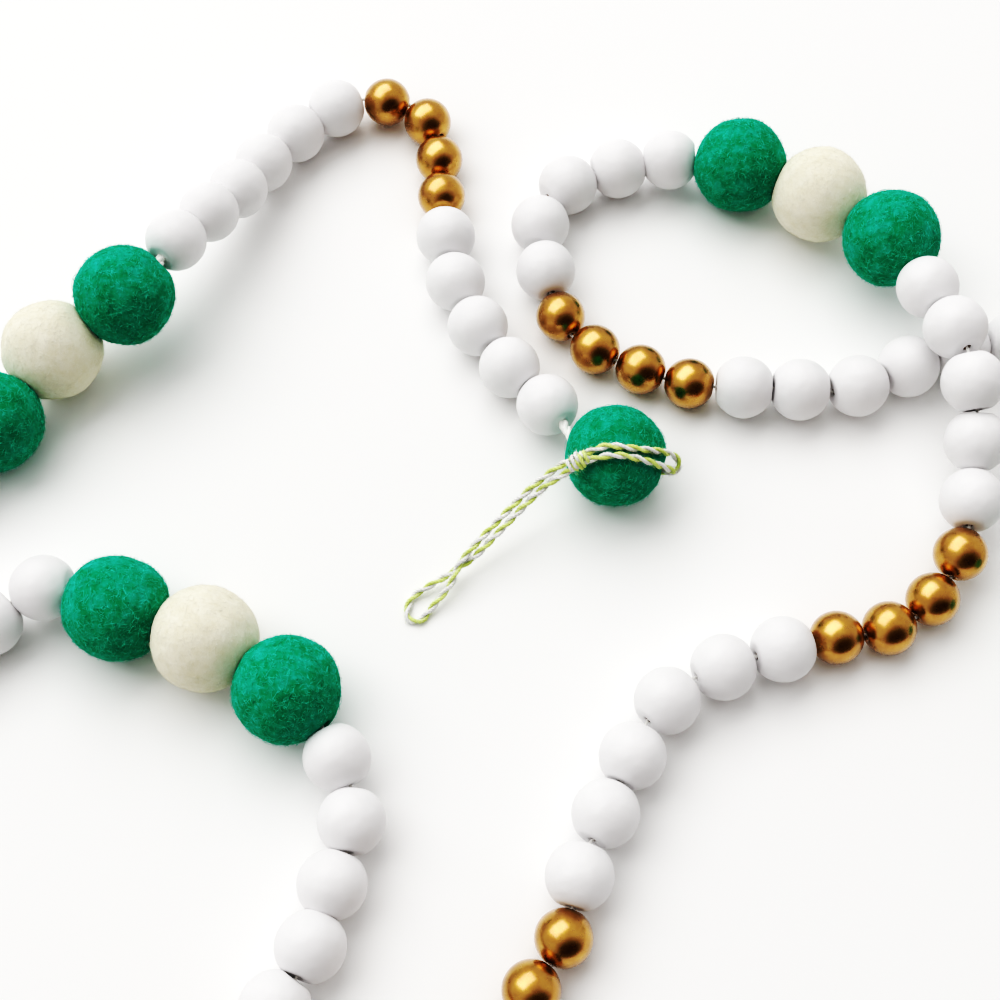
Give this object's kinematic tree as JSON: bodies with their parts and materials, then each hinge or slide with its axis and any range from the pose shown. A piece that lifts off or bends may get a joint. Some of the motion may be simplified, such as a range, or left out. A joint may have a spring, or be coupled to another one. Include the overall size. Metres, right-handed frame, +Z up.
{
  "type": "felt ball garland",
  "caption": "Garland of green and cream felt balls, white wooden beads and gold beads on a cotton string, with a tied twine hanging loop at each end.",
  "frame": {"origin": "the middle of the bottom of the box round the balls and beads, on the surface that the garland lies on", "axes": "+Z up from the surface, +X to the right and +Y away from a viewer who sees the crossing at the back right"},
  "size_m": [0.4062, 0.3352, 0.0333],
  "materials": {
    "green_felt": "fuzzy wool felt",
    "cream_felt": "fuzzy wool felt",
    "white_wood": "satin white paint",
    "gold_paint": "satin gold",
    "cotton_string": "twisted cotton",
    "two_ply_twine": "two-ply twine, one strand yellow-green and one pale grey"
  },
  "bodies": {
    "root": {"green_ball_01": "green_felt", "green_ball_02": "green_felt", "green_ball_03": "green_felt", "green_ball_04": "green_felt", "green_ball_05": "green_felt", "green_ball_06": "green_felt", "green_ball_07": "green_felt", "green_ball_08": "green_felt", "cream_ball_01": "cream_felt", "cream_ball_02": "cream_felt", "cream_ball_03": "cream_felt", "white_beads_01": "white_wood", "white_beads_02": "white_wood", "white_beads_03": "white_wood", "white_beads_04": "white_wood", "white_beads_05": "white_wood", "white_beads_06": "white_wood", "white_beads_07": "white_wood", "white_beads_08": "white_wood", "white_beads_09": "white_wood", "white_beads_10": "white_wood", "white_beads_11": "white_wood", "gold_bead_01": "gold_paint", "gold_bead_02": "gold_paint", "gold_bead_03": "gold_paint", "gold_bead_04": "gold_paint", "gold_bead_05": "gold_paint", "gold_bead_06": "gold_paint", "gold_bead_07": "gold_paint", "gold_bead_08": "gold_paint", "gold_bead_09": "gold_paint", "gold_bead_10": "gold_paint", "gold_bead_11": "gold_paint", "gold_bead_12": "gold_paint", "gold_bead_13": "gold_paint", "gold_bead_14": "gold_paint", "gold_bead_15": "gold_paint", "gold_bead_16": "gold_paint", "gold_bead_17": "gold_paint", "gold_bead_18": "gold_paint", "gold_bead_19": "gold_paint", "gold_bead_20": "gold_paint", "gold_bead_21": "gold_paint", "gold_bead_22": "gold_paint", "gold_bead_23": "gold_paint", "gold_bead_24": "gold_paint", "gold_bead_25": "gold_paint", "gold_bead_26": "gold_paint", "gold_bead_27": "gold_paint", "gold_bead_28": "gold_paint", "string": "cotton_string", "hanging_loop_01": "two_ply_twine", "hanging_loop_02": "two_ply_twine"}
  },
  "joints": []
}
